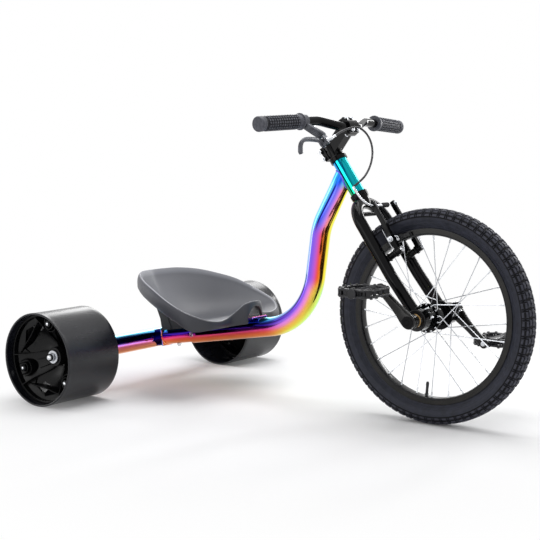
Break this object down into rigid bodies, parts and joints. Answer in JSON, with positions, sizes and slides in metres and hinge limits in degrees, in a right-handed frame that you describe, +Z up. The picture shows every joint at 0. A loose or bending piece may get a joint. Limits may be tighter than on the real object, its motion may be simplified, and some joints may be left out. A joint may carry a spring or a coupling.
{
  "type": "drift trike",
  "caption": "Low three wheeled rider with a pedalled, steered front wheel, bent tube frame, bucket seat and two plastic drum wheels that slide sideways.",
  "frame": {"origin": "on the ground, below the middle of the overall length and width", "axes": "+X forward along the trike, +Y to the rider's left, +Z up"},
  "size_m": [1.249, 0.878, 0.7252],
  "materials": {
    "oil_slick_chrome": "polished, tinted purple to orange",
    "teal_chrome": "polished, tinted teal",
    "gloss_black_metal": "gloss",
    "satin_black_metal": "satin",
    "black_plastic": "semi gloss",
    "core_plastic": "matt",
    "seat_plastic": "fine grained matt",
    "grey_alloy": "satin",
    "silver_steel": "bright",
    "bearing_steel": "ground",
    "black_rubber": "matt",
    "tyre_rubber": "matt"
  },
  "bodies": {
    "frame": {"main_tube": "oil_slick_chrome", "head_tube": "teal_chrome", "axle_beam": "oil_slick_chrome", "rear_bracket": "oil_slick_chrome", "bracket_bolt": "silver_steel", "length_bolt": "silver_steel", "seat": "seat_plastic", "seat_plate": "oil_slick_chrome", "seat_bolt_front": "silver_steel", "seat_bolt_rear": "silver_steel", "headset_cup_upper": "gloss_black_metal", "headset_cup_lower": "gloss_black_metal", "headset_bearing_upper": "bearing_steel", "headset_bearing_lower": "bearing_steel", "axle_stub_left": "silver_steel", "axle_stub_right": "silver_steel", "axle_nut_left": "silver_steel", "axle_nut_right": "silver_steel"},
    "left_drum_wheel": {"drum_left": "black_plastic", "drum_core_left": "core_plastic", "drum_bearing_inner_left": "bearing_steel", "drum_bearing_outer_left": "bearing_steel"},
    "right_drum_wheel": {"drum_right": "black_plastic", "drum_core_right": "core_plastic", "drum_bearing_inner_right": "bearing_steel", "drum_bearing_outer_right": "bearing_steel"},
    "steering": {"fork": "gloss_black_metal", "stem": "gloss_black_metal", "stem_faceplate": "gloss_black_metal", "handlebar": "gloss_black_metal", "grip_left": "black_rubber", "grip_right": "black_rubber", "lever_perch": "grey_alloy", "brake_post_bolt_left": "silver_steel", "brake_post_bolt_right": "silver_steel", "crank_bearing_left": "bearing_steel", "crank_bearing_right": "bearing_steel", "brake_cable": "black_rubber"},
    "lever": {"brake_lever": "grey_alloy"},
    "left_brake_arm": {"brake_arm_left": "gloss_black_metal", "brake_pad_left": "black_rubber", "brake_boot": "black_rubber"},
    "right_brake_arm": {"brake_arm_right": "gloss_black_metal", "brake_pad_right": "black_rubber", "brake_noodle": "silver_steel"},
    "front_wheel": {"tyre": "tyre_rubber", "rim": "satin_black_metal", "inner_tube": "black_rubber", "spokes_left": "silver_steel", "spokes_right": "silver_steel", "hub_shell": "gloss_black_metal", "wheel_bearing": "bearing_steel", "freewheel": "bearing_steel"},
    "cranks": {"crank_axle": "silver_steel", "crank_left": "satin_black_metal", "crank_right": "satin_black_metal", "pedal_spindle_left": "silver_steel", "pedal_spindle_right": "silver_steel"},
    "left_pedal": {"pedal_left": "black_plastic"},
    "right_pedal": {"pedal_right": "black_plastic"}
  },
  "joints": [
    {"name": "steering_turn", "type": "hinge", "parent": "frame", "child": "steering", "pos_m": [0.13503, 0, 0.57329], "axis": [-0.5736, 0, 0.8192], "range_deg": [-60, 60]},
    {"name": "front_wheel_spin", "type": "hinge", "parent": "steering", "child": "front_wheel", "pos_m": [0.3715, 0, 0.253], "axis": [0, 1, 0], "continuous": true},
    {"name": "crank_spin", "type": "hinge", "parent": "steering", "child": "cranks", "pos_m": [0.3715, 0, 0.253], "axis": [0, 1, 0], "continuous": true},
    {"name": "left_pedal_spin", "type": "hinge", "parent": "cranks", "child": "left_pedal", "pos_m": [0.44829, 0.18, 0.18139], "axis": [0, 1, 0], "continuous": true},
    {"name": "right_pedal_spin", "type": "hinge", "parent": "cranks", "child": "right_pedal", "pos_m": [0.29471, -0.18, 0.32461], "axis": [0, 1, 0], "continuous": true},
    {"name": "left_drum_spin", "type": "hinge", "parent": "frame", "child": "left_drum_wheel", "pos_m": [-0.5065, 0.352, 0.118], "axis": [0, 1, 0], "continuous": true},
    {"name": "right_drum_spin", "type": "hinge", "parent": "frame", "child": "right_drum_wheel", "pos_m": [-0.5065, -0.352, 0.118], "axis": [0, 1, 0], "continuous": true},
    {"name": "lever_pull", "type": "hinge", "parent": "steering", "child": "lever", "pos_m": [0.15254, -0.13, 0.65636], "axis": [-0.8192, 0, -0.5736], "range_deg": [0, 18], "stiffness_Nm_per_rad": 0.6, "springref_deg": -20.05},
    {"name": "left_arm_swing", "type": "hinge", "parent": "steering", "child": "left_brake_arm", "pos_m": [0.30365, 0.047, 0.40569], "axis": [0.8192, 0, 0.5736], "range_deg": [0, 2.3]},
    {"name": "right_arm_swing", "type": "hinge", "parent": "steering", "child": "right_brake_arm", "pos_m": [0.30365, -0.047, 0.40569], "axis": [-0.8192, 0, -0.5736], "range_deg": [0, 2.3]}
  ],
  "couplings": [
    {"joint": "left_arm_swing", "follows": "lever_pull", "ratio": 0.12222},
    {"joint": "right_arm_swing", "follows": "lever_pull", "ratio": 0.12222}
  ]
}
